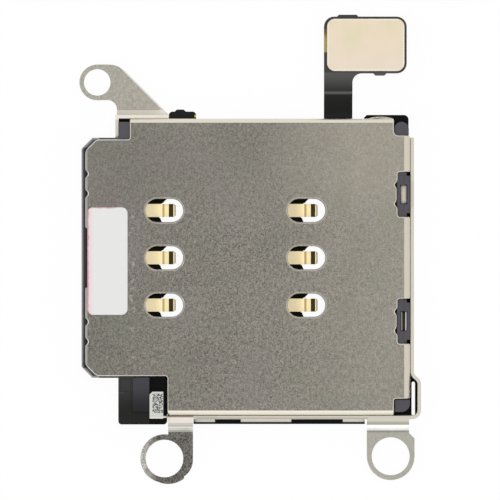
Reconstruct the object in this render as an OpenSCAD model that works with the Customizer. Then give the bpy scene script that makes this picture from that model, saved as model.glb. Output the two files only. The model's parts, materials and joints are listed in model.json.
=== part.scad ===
// Card reader for a small subscriber card: a black moulding under a folded steel
// lid, held in a steel frame with three screw ears, on a short flexible circuit.
// The origin is under the middle of the contact field, on the underside.
// The card tray enters from -X. +Y points at the connector, +Z at the lid.

/* [Card interface] */
// Distance between the two columns of contacts
contact_col = 7.62; // [7.4:0.02:7.8]
// Distance from one row of contacts to the next
contact_row = 2.54; // [2.4:0.02:2.6]
// Width of the passage for the card tray
tray_w = 11.8; // [11.5:0.1:12]
// Height of the passage for the card tray
tray_h = 0.85; // [0.8:0.05:1]
// Distance from the contact centre to the far end of the tray passage
tray_end = 7.75; // [7.6:0.05:7.8]

/* [Base moulding] */
// Height of the passage floor over the underside
floor_t = 0.45; // [0.4:0.05:0.55]
// Length of the mouth in front of the moulding's shoulders
mouth_l = 2.03; // [1.9:0.01:2.2]
// Thickness of the moulding beside the passage at the mouth
mouth_wall = 0.54; // [0.5:0.02:0.6]
// Length of the slanted corners of the mouth
mouth_cut = 0.6; // [0.4:0.05:0.7]
// Length of the lead-in slope of the floor at the mouth
lead_in = 0.6; // [0.3:0.1:0.9]
// Moulding to the left of the springs' roots
root_wall = 0.63; // [0.6:0.01:0.7]
// Moulding between the passage and the upper side
upper_wall = 1.39; // [1.3:0.01:1.45]
// Moulding between the end of the passage and the right side
end_wall = 1.46; // [1.44:0.01:1.5]
// Thickness of the rib between the passage and the push bar's channel
rib_t = 0.6; // [0.5:0.02:0.7]
// Thickness of the wall below the push bar's channel
lower_wall = 0.3; // [0.25:0.01:0.35]
// Radius of the round sight hole under a spring's tip
sight_r = 0.98; // [0.9:0.01:1]
// Width of the guide block
block_w = 2.63; // [2.55:0.01:2.7]
// Right side of the guide block
block_right = 3.65; // [3.6:0.01:3.7]
// Distance that the guide block stands out below the lid
block_out = 0.48; // [0.4:0.02:0.6]
// Depth of the guide block's raised middle below the lid's top
block_drop = 0.05; // [0.02:0.01:0.08]
// Height of the raised middle over the rest of the guide block
block_step = 0.15; // [0.1:0.01:0.18]
// Height of the ledge outside the lower frame wall
ledge_h = 0.42; // [0.36:0.02:0.44]
// Distance that this ledge stands out below the lid
ledge_out = 0.47; // [0.4:0.01:0.55]
// Distance that the upper right corner stands out above the lid
corner_out = 0.21; // [0.15:0.01:0.25]
// Depth of the corner posts' tops below the lid's top
post_drop = 0.17; // [0.1:0.01:0.2]

/* [Shield cover] */
// Thickness of the lid sheet
cover_t = 0.15; // [0.12:0.01:0.18]
// Distance of the lid's edge behind the rim of the mouth
lip = 0.22; // [0.15:0.01:0.3]
// Distance of the lid's sides inside the mouth's sides
tongue_in = 0.09; // [0.05:0.01:0.12]
// Depth of the lid's step at the upper left
lid_step = 0.58; // [0.5:0.01:0.65]
// Outer radius of the folds at the right and at the bottom
bend_r = 0.34; // [0.3:0.01:0.4]
// Outer radius of the fold at the top
top_bend_r = 0.23; // [0.2:0.01:0.3]
// Depth of the folded edges below the lid's top
flange_h = 0.85; // [0.7:0.05:0.95]
// Length of a contact window
hole_l = 2.02; // [1.9:0.02:2.2]
// Width of a contact window
hole_w = 1.24; // [1.1:0.02:1.4]
// Width of the pressed bevel round a contact window
hole_bevel = 0.06; // [0.04:0.01:0.08]
// Length of each window in the right edge
window_l = 2.4; // [2.3:0.02:2.5]
// Width of each window in the right edge
window_w = 0.68; // [0.62:0.01:0.72]
// Distance of those windows from the contact centre line
window_y = 3.4; // [3.35:0.01:3.45]
// Width of the open corners at the right
notch_w = 0.88; // [0.8:0.01:0.95]
// Length of the open corners at the right
notch_h = 0.9; // [0.8:0.01:1]
// Radius inside the upper right corner
notch_r = 0.25; // [0.1:0.01:0.3]
// Radius inside the other corners and the windows
small_r = 0.12; // [0.08:0.01:0.15]
// Depth of the wide recess in the mouth edge
recess_d = 0.17; // [0.1:0.01:0.2]
// Length of the wide recess in the mouth edge
recess_l = 3.2; // [3:0.05:3.4]
// Depth of the small scallops in the mouth edge
scallop_d = 0.14; // [0.1:0.01:0.17]
// Radius of the small relief notches
relief_r = 0.1; // [0.08:0.01:0.12]
// Length of the pressed dimple on the upper edge
dimple_l = 1.44; // [1.2:0.02:1.6]
// Height of that dimple
dimple_h = 0.11; // [0.08:0.01:0.14]

/* [Mounting frame] */
// Thickness of the frame sheet
frame_t = 0.18; // [0.15:0.01:0.2]
// Depth of the walls' tops below the lid's top
wall_drop = 0.3; // [0.2:0.01:0.35]
// Width of the frame's rim under the moulding
rim_w = 0.8; // [0.7:0.05:0.9]
// Width of that rim on the mouth's side
rim_left = 0.45; // [0.3:0.05:0.5]
// Distance that the wall bulges out beside the ejector lever
bulge = 0.38; // [0.36:0.01:0.45]
// Radius of the two bends that lead into the bulge
bulge_r = 0.42; // [0.35:0.01:0.5]
// Underside of the screw ears
ear_z = 0.4; // [0.3:0.05:0.6]
// Radius of the screw hole in the upper left ear
hole_a_r = 0.71; // [0.6:0.01:0.75]
// Radius of the screw hole in the lower left ear
hole_b_r = 1.01; // [0.9:0.01:1.05]
// Radius of the screw hole in the lower right ear
hole_c_r = 1.02; // [0.9:0.01:1.05]
// Width of metal round the upper left hole
ring_a = 0.25; // [0.2:0.01:0.3]
// Width of metal round the lower left hole
ring_b = 0.29; // [0.2:0.01:0.35]
// Width of metal round the lower right hole
ring_c = 0.26; // [0.2:0.01:0.35]
// Length of the level part of the lower ears' arms
arm_level = 0.52; // [0.4:0.01:0.6]
// Length of the slope of the lower ears' arms
arm_slope = 0.25; // [0.2:0.01:0.35]
// Width of the folded tag
tag_w = 0.73; // [0.7:0.01:0.76]
// Length of the folded tag
tag_l = 1.4; // [1.3:0.02:1.44]
// Thickness of the folded tag
tag_t = 0.09; // [0.06:0.01:0.1]

/* [Contact springs] */
// Width of a contact spring
spring_w = 0.7; // [0.6:0.02:0.8]
// Thickness of a contact spring
spring_t = 0.1; // [0.08:0.01:0.12]
// Height of the crest over the passage floor
crest_h = 0.6; // [0.5:0.05:0.7]
// Length of the spring's rising arm
arm_l = 1.35; // [1.2:0.05:1.38]
// Length of the spring's root under the floor
root_l = 0.45; // [0.3:0.05:0.5]
// Length of the crest and the tip together
tip_l = 0.6; // [0.55:0.01:0.65]
// Drop from the crest to the tip
tip_drop = 0.42; // [0.35:0.01:0.45]

/* [Flexible circuit] */
// Thickness of the flexible circuit
flex_t = 0.15; // [0.1:0.01:0.18]
// Width of the neck
neck_w = 1.53; // [1.4:0.02:1.6]
// Distance of the neck's middle from the right side of the moulding
neck_in = 3.69; // [3.6:0.01:3.75]
// Length of the neck from the frame to the pad
neck_l = 2.42; // [2.3:0.02:2.6]
// Radius between the neck and the pad
neck_r = 0.5; // [0.3:0.05:0.6]
// Width of the connector pad
pad_w = 4.44; // [4.36:0.02:4.5]
// Length of the connector pad
pad_l = 3.05; // [3:0.01:3.1]
// Corner radius of the pad
pad_r = 0.54; // [0.4:0.02:0.6]
// Underside of the connector pad
pad_z = 0.62; // [0.55:0.01:0.7]
// Length of the small tab beside the upper left ear
tab_l = 1.47; // [1.3:0.01:1.6]
// Reach of that tab beyond the frame
tab_out = 0.38; // [0.3:0.01:0.45]
// Thickness of the stiffener plate
stiffener_t = 0.2; // [0.15:0.01:0.3]
// Bare margin of the pad round the stiffener plate
stiffener_margin = 0.12; // [0.08:0.01:0.16]

/* [Board connector] */
// Length of the connector housing
plug_l = 3.3; // [3.1:0.05:3.5]
// Width of the connector housing
plug_w = 1.9; // [1.8:0.05:2]
// Number of pins in each row
pin_n = 7; // [5:1:8]
// Distance from one pin to the next
pin_pitch = 0.35; // [0.3:0.01:0.38]
// Width of a pin
pin_w = 0.13; // [0.1:0.01:0.15]

/* [Ejector] */
// Width of the push bar
bar_w = 0.7; // [0.6:0.02:0.74]
// Height of the push bar
bar_h = 0.55; // [0.45:0.01:0.57]
// Space between the rib and the push bar
bar_gap = 0.5; // [0.4:0.02:0.6]
// Distance of the push bar's left end inside the guide block's left side
bar_in = 0.13; // [0.05:0.01:0.2]
// Stroke of the push bar
stroke = 0.85; // [0.7:0.05:0.9]
// Height of the stop lug on the side of the push bar
lug_h = 0.2; // [0.15:0.01:0.24]
// Length of the stop lug
lug_l = 1; // [0.8:0.1:1.2]
// Room for the stop lug below the push bar
lug_room = 0.29; // [0.27:0.01:0.35]
// Thickness of the lever
lever_t = 0.28; // [0.22:0.01:0.29]
// Width of the lever's arms
lever_w = 0.4; // [0.34:0.02:0.42]
// Radius of the lever's rounded ends
lever_end_r = 0.28; // [0.26:0.01:0.3]
// Radius of the lever round its pin
hub_r = 0.42; // [0.4:0.01:0.44]
// Distance of the lever's pivot from the right side of the moulding
pivot_in = 1.01; // [1:0.01:1.05]
// Pivot of the lever, below the contact centre
pivot_y = 3.6; // [3.56:0.01:3.65]
// Distance of the lever's nose above the contact centre
nose_y = 4; // [3.6:0.05:4.2]
// Radius of the pivot pin
pin_r = 0.22; // [0.18:0.01:0.24]

/* [Tray switch] */
// Thickness of the switch's strips
strip_t = 0.09; // [0.08:0.01:0.1]
// Half the length of the switch's strips
strip_h = 0.52; // [0.45:0.01:0.55]
// Distance of the switch leaf from the right side of the moulding
leaf_in = 0.34; // [0.33:0.01:0.35]
// Gap between the leaf and the fixed strip
leaf_gap = 0.14; // [0.1:0.01:0.15]

/* [Moisture label] */
// Thickness of the label
label_t = 0.08; // [0.06:0.01:0.12]
// Width of the label
label_w = 2.16; // [2:0.02:2.3]
// Length of the label
label_l = 5.77; // [5.5:0.02:5.9]
// Corner radius of the label
label_r = 0.32; // [0.2:0.02:0.4]
// Distance of the label from the mouth edge of the lid
label_in = 0.11; // [0.08:0.01:0.2]

/* [Clearances] */
// Running gap beside the moving parts
run_gap = 0.05; // [0.04:0.01:0.06]
// Radial gap of the lever on its pin
pivot_gap = 0.03; // [0.02:0.01:0.05]
// Gap between sheet parts that pass each other
sheet_gap = 0.02; // [0.01:0.01:0.03]

/* [Hidden] */
$fn = 48;

// Reach of a cut beyond the piece that it cuts, and overlap of shapes that are joined
over = 3;
joined = 0.1;

// Heights
roof_z = floor_t + tray_h;
top_z = roof_z + cover_t;
block_z = top_z - block_drop;
post_z = top_z - post_drop;
wall_z = top_z - wall_drop;
shelf_z = top_z - flange_h - sheet_gap;
bar_z = floor_t + run_gap;
bar_top = bar_z + bar_h;
lever_z = bar_top - lever_t;

// Sides of the moulding
mouth_h = tray_w / 2 + mouth_wall;
shoulder_x = contact_col / 2 + arm_l + root_l + root_wall;
mouth_x = shoulder_x + mouth_l;
rib_y = tray_w / 2 + rib_t;
bar_y = rib_y + bar_gap + bar_w / 2;
channel_y = bar_y + bar_w / 2 + lug_room;
body_bottom = channel_y + lower_wall;
body_top = tray_w / 2 + upper_wall;
body_right = tray_end + end_wall;
block_left = block_right + block_w;

// Sides of the lid
cover_left = mouth_x - lip;
tongue_h = mouth_h - tongue_in;
lid_left = shoulder_x - lid_step;
cover_right = body_right + sheet_gap + cover_t;
cover_top = body_top + sheet_gap + cover_t;
cover_bottom = body_bottom + sheet_gap + cover_t;
notch_x = cover_right - notch_w;
notch_top = cover_top - notch_h;
notch_bottom = cover_bottom - notch_h;
window_x = cover_right - window_w;
scallops = [3.44, 4.5];
scallop_r = 0.19;

// Inner faces of the frame walls
in_left = shoulder_x + sheet_gap;
in_right = cover_right + sheet_gap;
in_top = cover_top + sheet_gap;
in_bottom = cover_bottom + sheet_gap;
corner_r = 0.3;
wall_end = notch_top - 0.11;
stub_x = 3.6;

// Bulge of the right wall beside the lever's lower end
bulge_y = bar_y - 1.25;
bulge_a = acos(1 - bulge / (2 * bulge_r));
bulge_l = 2 * bulge_r * sin(bulge_a);

// Screw holes and the metal round them
hole_a = [-in_left - 1.16, in_top + 1.94];
hole_b = [-block_right - 0.16, -in_bottom - 2.3];
hole_c = [in_right - 1.06, -in_bottom - 2.18];
ear_a_r = hole_a_r + ring_a;
ear_b_r = hole_b_r + ring_b;
ear_c_r = hole_c_r + ring_c;

// Stretches of the lower edge: feet of the frame, and roots of the ledge between them
feet = [[-2.2, -1.1], [0.29, 3], [5.77, 6.95]];
foot_out = 0.16;
ledge_roots = [[-0.95, 0.15], [3.15, 5.65]];
ledge_x = [-2.25, 6.95];
ledge_y = cover_bottom + ledge_out;

// Folded tag
tag_x = -block_right - 0.95;
tag_y = -in_bottom - 0.1;
tag_fold = 0.18;
tag_dip = 0.1;

// Openings in the window blocks of the moulding
leaf_x = body_right - leaf_in;
peep_h = 0.52;
peep_x = [leaf_x - 0.03, cover_right - 0.16];

// Ejector
pivot_x = body_right - pivot_in;
lever_len = bar_y - pivot_y;
bar_x0 = block_left - bar_in;
bar_x1 = pivot_x - lever_end_r - run_gap;

// Flexible circuit and board connector
neck_x = body_right - neck_in;
pad_x0 = neck_x - neck_w / 2;
pad_x1 = pad_x0 + pad_w;
pad_y0 = in_top + neck_l;
pad_y1 = pad_y0 + pad_l;
plug_x = (pad_x0 + pad_x1) / 2;
plug_y = (pad_y0 + pad_y1) / 2;

// Points along an arc about [x, y] with radius r from angle a to angle b
function arc(x, y, r, a, b, n = 6) =
  [for (i = [0:n]) [x + r * cos(a + (b - a) * i / n), y + r * sin(a + (b - a) * i / n)]];

// Rectangle from [x0, y0] to [x1, y1] with corner radius r
function round_rect(x0, y0, x1, y1, r) = concat(
  arc(x1 - r, y1 - r, r, 0, 90), arc(x0 + r, y1 - r, r, 90, 180),
  arc(x0 + r, y0 + r, r, 180, 270), arc(x1 - r, y0 + r, r, 270, 360));

// Chamfer of length c at corner p, between the edges along u and v, eased at both ends
function chamfer(p, u, v, c) = [
  p + 1.2 * c * u, p + c * (0.9 * u + 0.1 * v), p + c * (0.1 * u + 0.9 * v), p + 1.2 * c * v];

// Outline of a strip of thickness t whose right-hand face follows the points p
function unit(v) = v / norm(v);
function side(v) = [-v[1], v[0]];
function mitre(a, b) = unit(side(a) + side(b)) / (unit(side(a) + side(b)) * side(a));
function offset_point(p, i, t) =
  let (
    a = unit(i > 0 ? p[i] - p[i - 1] : p[1] - p[0]),
    b = unit(i < len(p) - 1 ? p[i + 1] - p[i] : p[i] - p[i - 1]))
  p[i] + t * mitre(a, b);
function strip(p, t) = concat(p, [for (i = [len(p) - 1:-1:0]) offset_point(p, i, t)]);

// A box between two corners
module block(a, b) {
  translate(a) cube(b - a);
}

// A rectangle between two corners
module patch(a, b) {
  translate(a) square(b - a);
}

// A profile of (y, z) points drawn along X
module along_x(x0, x1) {
  translate([x0, 0, 0]) rotate([90, 0, 90]) linear_extrude(x1 - x0) children();
}

// A profile of (x, z) points drawn along Y
module along_y(y0, y1) {
  translate([0, y1, 0]) rotate([90, 0, 0]) linear_extrude(y1 - y0) children();
}

// A plan drawn up from z0 to z1
module upright(z0, z1) {
  translate([0, 0, z0]) linear_extrude(z1 - z0) children();
}

// Repeats a piece at the middle of each contact window
module at_contacts() {
  for (i = [-0.5, 0.5], j = [-1, 0, 1]) translate([i * contact_col, j * contact_row, 0]) children();
}

// A slot with round ends, its length along X
module obround(l, w) {
  square([l - w, w], center = true);
  for (s = [-1, 1]) translate([s * (l - w) / 2, 0]) circle(w / 2);
}

// Shield cover

// Profile of a folded edge: its outer face lies at e, its outer radius is r
module fold(e, r) {
  intersection() {
    translate([e - r, top_z - r]) difference() {
      circle(r);
      circle(r - cover_t);
    }
    translate([e - r, top_z - r]) square(r);
  }
  patch([e - cover_t, top_z - flange_h], [e, top_z - r]);
}

// Cuts one contact window with its pressed bevel
module contact_window() {
  upright(-over, top_z + over) obround(hole_l, hole_w);
  w = hole_w / 2;
  h = hole_bevel;
  for (s = [-1, 1])
    translate([s * (hole_l / 2 - w), 0, top_z - h]) cylinder(2 * h, w, w + 2 * h);
  along_x(-hole_l / 2 + w, hole_l / 2 - w)
    polygon([[-w, top_z - h], [w, top_z - h], [w + 2 * h, top_z + h], [-w - 2 * h, top_z + h]]);
}

// Plan of one window in the right edge, with the relief notches in its left side
module edge_window_plan() {
  h = window_l / 2;
  x0 = window_x - 0.05;
  x1 = window_x + joined;
  r = relief_r;
  polygon(round_rect(window_x, -h, cover_right + over, h, small_r));
  patch([x0, -peep_h], [x1, peep_h]);
  for (s = [-1, 1])
    polygon([
      [x1, s * (peep_h - 1.8 * r)], [x0, s * (peep_h - 1.8 * r)], [x0 - r, s * (peep_h - 0.6 * r)],
      [x0 - r, s * (peep_h + 0.4 * r)], [x0, s * (peep_h + 1.6 * r)], [x1, s * (peep_h + 2.4 * r)]]);
}

module cover_plan() {
  x1 = cover_right - bend_r;
  y1 = cover_top - top_bend_r;
  y0 = -cover_bottom + bend_r;
  r = notch_r;
  s = small_r;
  polygon(concat(
    chamfer([-cover_left, tongue_h], [0, -1], [1, 0], mouth_cut),
    arc(-lid_left - s, tongue_h + s, s, -90, 0),
    [[-lid_left, y1], [notch_x, y1]],
    arc(notch_x + r, notch_top + r, r, 180, 270),
    [[x1, notch_top], [x1, -notch_bottom]],
    arc(notch_x + s, -notch_bottom - s, s, 90, 180),
    [[notch_x, y0], [-block_right, y0]],
    arc(-block_right - s, -tongue_h - s, s, 0, 90),
    chamfer([-cover_left, -tongue_h], [1, 0], [0, 1], mouth_cut)));
}

// Shallow dimple pressed out of the upper edge, over the moulding's ledge
module dimple() {
  h = dimple_l / 2;
  r = (pow(h, 2) + pow(dimple_h, 2)) / (2 * dimple_h);
  intersection() {
    translate([notch_x - h, cover_top + dimple_h - r, top_z - flange_h])
      cylinder(flange_h - top_bend_r, r = r, $fn = 96);
    block([notch_x - dimple_l, cover_top - sheet_gap, 0], [notch_x, cover_top + dimple_h, top_z]);
  }
}

module shield_cover() {
  color([0.6, 0.59, 0.55]) difference() {
    union() {
      upright(roof_z, top_z) cover_plan();
      along_y(-notch_bottom, notch_top) fold(cover_right, bend_r);
      along_x(-lid_left, notch_x) fold(cover_top, top_bend_r);
      mirror([0, 1, 0]) along_x(-block_right, notch_x) fold(cover_bottom, bend_r);
      dimple();
    }
    at_contacts() contact_window();
    // Way out for the lever's lower end
    block([body_right - joined, -notch_bottom - over, 0], [cover_right + over, -bulge_y, bar_top + run_gap]);
    upright(-over, top_z + over) {
      for (s = [-1, 1]) translate([0, s * window_y]) edge_window_plan();
      for (y = scallops, s = [-1, 1])
        translate([-cover_left - scallop_r + scallop_d, s * y]) circle(scallop_r);
      polygon(round_rect(
        -cover_left - over, -recess_l / 2, -cover_left + recess_d, recess_l / 2, small_r));
    }
  }
}

// Mounting frame

// Outline of the frame's walls, d outside their inner faces
function frame_line(d) = concat(
  [[-in_left - d, in_top + d], [in_right + d, in_top + d]],
  arc(in_right + bulge_r + frame_t / 2, -bulge_y, bulge_r + frame_t / 2 - d, 180, 180 + bulge_a),
  arc(in_right + bulge - bulge_r + frame_t / 2, -bulge_y - bulge_l,
      bulge_r - frame_t / 2 + d, bulge_a, 0),
  arc(in_right + bulge - corner_r, -in_bottom + corner_r, corner_r + d, 0, -90),
  [[-in_left - d, -in_bottom - d]]);

// Stretches of the outline that have a wall: right, bottom, and the stub at the upper left
module wall_spans() {
  patch([in_right - rim_w, -in_bottom - over], [in_right + over, wall_end]);
  patch([-block_right, -in_bottom - over], [in_right + over, -in_bottom + rim_w]);
  patch([-in_left - over, mouth_h + sheet_gap], [-stub_x, in_top + over]);
}

// Plan of the walls, g larger all round
module wall_plan(g) {
  intersection() {
    difference() {
      polygon(frame_line(frame_t + g));
      polygon(frame_line(-g));
    }
    wall_spans();
  }
}

// Plan of the rim that lies under the moulding, g larger all round
module rim_plan(g) {
  back = 0.1;
  slit = [0.07, 0.25];
  difference() {
    union() {
      polygon(frame_line(-back));
      intersection() {
        polygon(frame_line(frame_t + g));
        wall_spans();
      }
    }
    patch([-in_left + rim_left + g, -in_bottom + rim_w + g],
          [in_right - rim_w - g, in_top - rim_w - g]);
    // Open side, through which the circuit leaves
    patch([-stub_x + g, in_top - 2 * rim_w], [pad_x0 + neck_w + 0.2 - g, in_top + over]);
    // Slit between the wall's bulge and the lid
    polygon(round_rect(
      in_right + slit[0] + g, -in_bottom + sheet_gap, in_right + slit[1], -bulge_y - 0.8 * bulge_l, 0.08));
  }
}

// An ear of sheet that leaves the wall at w, runs level for a, slopes down over b, and is
// cut to the plan of its children; d is 1 upward and -1 downward
module ear(x0, x1, w, a, b, d) {
  z = wall_z - frame_t;
  intersection() {
    mirror([0, d > 0 ? 0 : 1, 0]) along_x(x0, x1)
      polygon(strip([[w, z], [w + a, z], [w + a + b, ear_z], [w + 2 * over, ear_z]], frame_t));
    upright(0, wall_z) children();
  }
}

// Upper left ear: a straight slanted side from the rounded root to the ring
module ear_a_plan() {
  r = 1.245;
  tip_r = 0.15;
  tip = [-stub_x - 0.14, in_top + tip_r];
  top = hole_a[1] + ear_a_r;
  notch = [-in_left - 0.61, in_top + 0.48];
  notch_r = 0.51;
  translate(hole_a) circle(ear_a_r);
  polygon(concat(
    arc(tip[0], tip[1], tip_r, -90, 45),
    arc(tip[0] + tip[1] + (tip_r - r) * sqrt(2) - top + r, top - r, r, 45, 90),
    [[hole_a[0], top], [hole_a[0], hole_a[1] - ear_a_r]],
    arc(notch[0], notch[1], notch_r, 90, 0),
    [[notch[0] + notch_r, in_top]]));
}

// Lower left ear: a straight root whose far corner is rounded and stepped
module ear_b_plan() {
  x1 = hole_b[0] + ear_b_r + 0.23;
  corner = 1.07;
  y = hole_b[1] - 0.08;
  translate(hole_b) circle(ear_b_r);
  translate([x1 - corner, y]) circle(corner);
  patch([hole_b[0] + 0.2, y], [x1, -in_bottom]);
  intersection() {
    translate([hole_b[0] + 0.2, hole_b[1] + 0.02]) circle(ear_b_r + 0.09);
    patch([hole_b[0] - ear_b_r, y - 2 * ear_b_r], [x1 - 0.48, y]);
  }
}

// Lower right ear: a root as wide as its ring, with one slanted shoulder
module ear_c_plan() {
  x0 = hole_c[0] - ear_c_r;
  x1 = hole_c[0] + ear_c_r;
  shoulder = 0.3;
  y = -in_bottom - arm_level - arm_slope - 0.15;
  translate(hole_c) circle(ear_c_r);
  polygon([
    [x0, hole_c[1]], [x0, -in_bottom], [x1 - shoulder, -in_bottom], [x1 - shoulder, y],
    [x1, y - shoulder], [x1, hole_c[1]]]);
}

// Tag folded over the guide block, and its link to the lower wall
module folded_tag() {
  cut = 0.15;
  x1 = tag_x + tag_w;
  low = block_z - tag_dip;
  intersection() {
    along_x(tag_x, x1)
      polygon(strip([[tag_y, low], [tag_y + tag_fold, block_z], [tag_y + tag_l, block_z]], tag_t));
    upright(0, top_z + over) polygon([
      [tag_x, tag_y - joined], [x1, tag_y - joined], [x1, tag_y + tag_l],
      [tag_x + cut, tag_y + tag_l], [tag_x, tag_y + tag_l - cut]]);
  }
  block([x1 - joined, tag_y, low], [-block_right + joined, tag_y + tag_fold / 2, low + tag_t]);
  block([-block_right, -in_bottom - frame_t, wall_z - frame_t],
        [-block_right + joined, -in_bottom, low + tag_t]);
}

// Steel hook that rises from the rim and shows in the upper window
module window_hook() {
  z = roof_z - 0.25;
  x1 = peep_x[1] - sheet_gap;
  y = [window_y - peep_h + sheet_gap, window_y + peep_h - sheet_gap];
  block([x1 - frame_t, y[0], 0], [x1, y[1], z]);
  block([peep_x[0] + sheet_gap, y[0], z - frame_t], [x1, y[1], z]);
}

module mounting_frame() {
  color([0.75, 0.74, 0.7]) difference() {
    union() {
      upright(0, frame_t) rim_plan(0);
      upright(0, wall_z) wall_plan(0);
      ear(hole_a[0] - ear_a_r, -stub_x + 0.01, in_top, 0.06, 0.36, 1) ear_a_plan();
      ear(hole_b[0] - ear_b_r, hole_b[0] + 2 * ear_b_r, in_bottom, arm_level, arm_slope, -1) ear_b_plan();
      ear(hole_c[0] - ear_c_r, hole_c[0] + ear_c_r, in_bottom, arm_level, arm_slope, -1) ear_c_plan();
      // Short feet bent outward over the moulding's ledge
      for (x = feet)
        block([x[0], -in_bottom - frame_t - foot_out, ledge_h],
              [x[1], -in_bottom - frame_t / 2, ledge_h + frame_t]);
      folded_tag();
      window_hook();
    }
    translate([hole_a[0], hole_a[1], 0]) cylinder(over, r = hole_a_r);
    translate([hole_b[0], hole_b[1], 0]) cylinder(over, r = hole_b_r);
    translate([hole_c[0], hole_c[1], 0]) cylinder(over, r = hole_c_r);
    // Openings through which the ledge joins the moulding
    for (x = ledge_roots)
      block([x[0] - run_gap, -in_bottom - over, frame_t],
            [x[1] + run_gap, -in_bottom + joined, ledge_h + sheet_gap]);
  }
}

// Base moulding

// Plan of the moulding under the lid, with open corners at the right
module base_plan() {
  under = 0.05;
  x = notch_x - under;
  polygon([
    [-mouth_x, mouth_h - mouth_cut], [-mouth_x + mouth_cut, mouth_h], [-shoulder_x, mouth_h],
    [-shoulder_x, body_top], [x, body_top], [x, notch_top - under], [body_right, notch_top - under],
    [body_right, -notch_bottom + under], [x, -notch_bottom + under], [x, -body_bottom],
    [-block_right, -body_bottom], [-block_right, -mouth_h], [-mouth_x + mouth_cut, -mouth_h],
    [-mouth_x, -mouth_h + mouth_cut]]);
}

// Cuts the edge at e from the top of the moulding, c wide
module bevel(e, c) {
  s = sheet_gap;
  z = roof_z + joined;
  polygon([[e + s, roof_z - c - s], [e + s, z], [e - c - joined, z], [e - c, roof_z]]);
}

// Body under the lid, with bevels that clear the inside of the lid's folds
module body() {
  difference() {
    upright(0, roof_z) base_plan();
    along_y(-notch_bottom, notch_top) bevel(body_right, bend_r - cover_t);
    along_x(-lid_left, notch_x) bevel(body_top, top_bend_r - cover_t);
    mirror([0, 1, 0]) along_x(-block_right - over, notch_x) bevel(body_bottom, bend_r - cover_t);
  }
}

// Low ledge and round-topped post in the open corner at the upper right
module upper_corner() {
  x0 = in_right - 2.5;
  x1 = in_right - 0.1;
  y1 = cover_top + corner_out;
  y0 = body_top - joined;
  slant = 0.15;
  r = 0.25;
  upright(frame_t + sheet_gap, shelf_z) polygon(concat(
    [[x0 + slant, y0], [notch_x - joined, y0],
     [notch_x - joined, notch_top - joined], [x1, notch_top - joined]],
    arc(x1 - r, y1 - r, r, 0, 90),
    [[x0 + slant, y1], [x0, y1 - slant]]));
  post_x = notch_x + sheet_gap;
  post_r = (x1 - post_x) / 2;
  upright(frame_t + sheet_gap, post_z) {
    translate([post_x + post_r, body_top - post_r]) circle(post_r);
    patch([post_x, notch_top + sheet_gap], [x1, body_top - post_r]);
    patch([post_x, notch_top - joined], [cover_right - bend_r, body_top - post_r]);
  }
}

// Low floor and post in the open corner at the lower right, clear of the push bar and lever
module lower_corner() {
  x1 = in_right - 0.04;
  y0 = -body_bottom + sheet_gap;
  r = 0.45;
  upright(0, floor_t) patch([notch_x - joined, -body_bottom], [in_right - sheet_gap, -notch_bottom]);
  difference() {
    upright(0, post_z) polygon(concat(
      [[notch_x + run_gap, -notch_bottom - run_gap], [notch_x + run_gap, y0]],
      arc(x1 - r, y0 + r, r, -90, 0),
      [[x1, -notch_bottom - run_gap]]));
    block([notch_x - over, -bar_y - bar_w / 2 - run_gap, floor_t],
          [in_right + over, -notch_bottom + over, bar_top + run_gap]);
  }
}

// Guide block of the push bar, with an L-shaped raised middle under the folded tag
module guide_block() {
  low = block_z - block_step;
  x0 = -block_left + 0.78;
  y0 = -body_bottom + 0.04;
  y1 = -mouth_h - 0.7;
  difference() {
    union() {
      upright(0, low) polygon(round_rect(
        -block_left, -cover_bottom - block_out, -block_right - sheet_gap, -mouth_h + 2 * joined, 0.18));
      upright(0, block_z) {
        patch([x0, y0], [x0 + 0.92, -mouth_h]);
        patch([x0, y0], [-block_right - joined, y1]);
      }
    }
    // Shallow pockets either side of the raised middle
    block([x0 + 0.92, y1, low - 0.08], [-block_right, -mouth_h - run_gap, block_z + over]);
    block([-block_left + joined, y1 - run_gap, low - run_gap], [x0, -mouth_h - run_gap, block_z + over]);
  }
}

// Space in which the lever swings: from the passage to the frame's bulge
module lever_space() {
  x0 = tray_end - joined;
  x1 = pivot_x + hub_r + run_gap;
  polygon([
    [x0, nose_y + 0.9], [x1, nose_y + 0.9], [x1, -window_y - window_l / 2],
    [x1 + bulge, -bulge_y + 1], [cover_right + over, -bulge_y - 0.25], [cover_right + over, -channel_y],
    [bar_x1 - stroke, -channel_y], [bar_x1 - stroke, -tray_w / 2], [x0, -tray_w / 2]]);
}

// Slot for one contact spring, with the round sight hole under its tip
module spring_slot() {
  w = spring_w / 2 + run_gap;
  x0 = -arm_l - 0.12;
  upright(-over, roof_z) {
    patch([x0, -w], [tip_l, w]);
    sight_plan(0);
  }
  block([-arm_l - root_l, -w, -over], [-arm_l, w, flex_t + spring_t]);
}

// Plan of that sight hole, g larger all round
module sight_plan(g) {
  translate([0.72, -0.16]) circle(sight_r + g);
}

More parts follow.
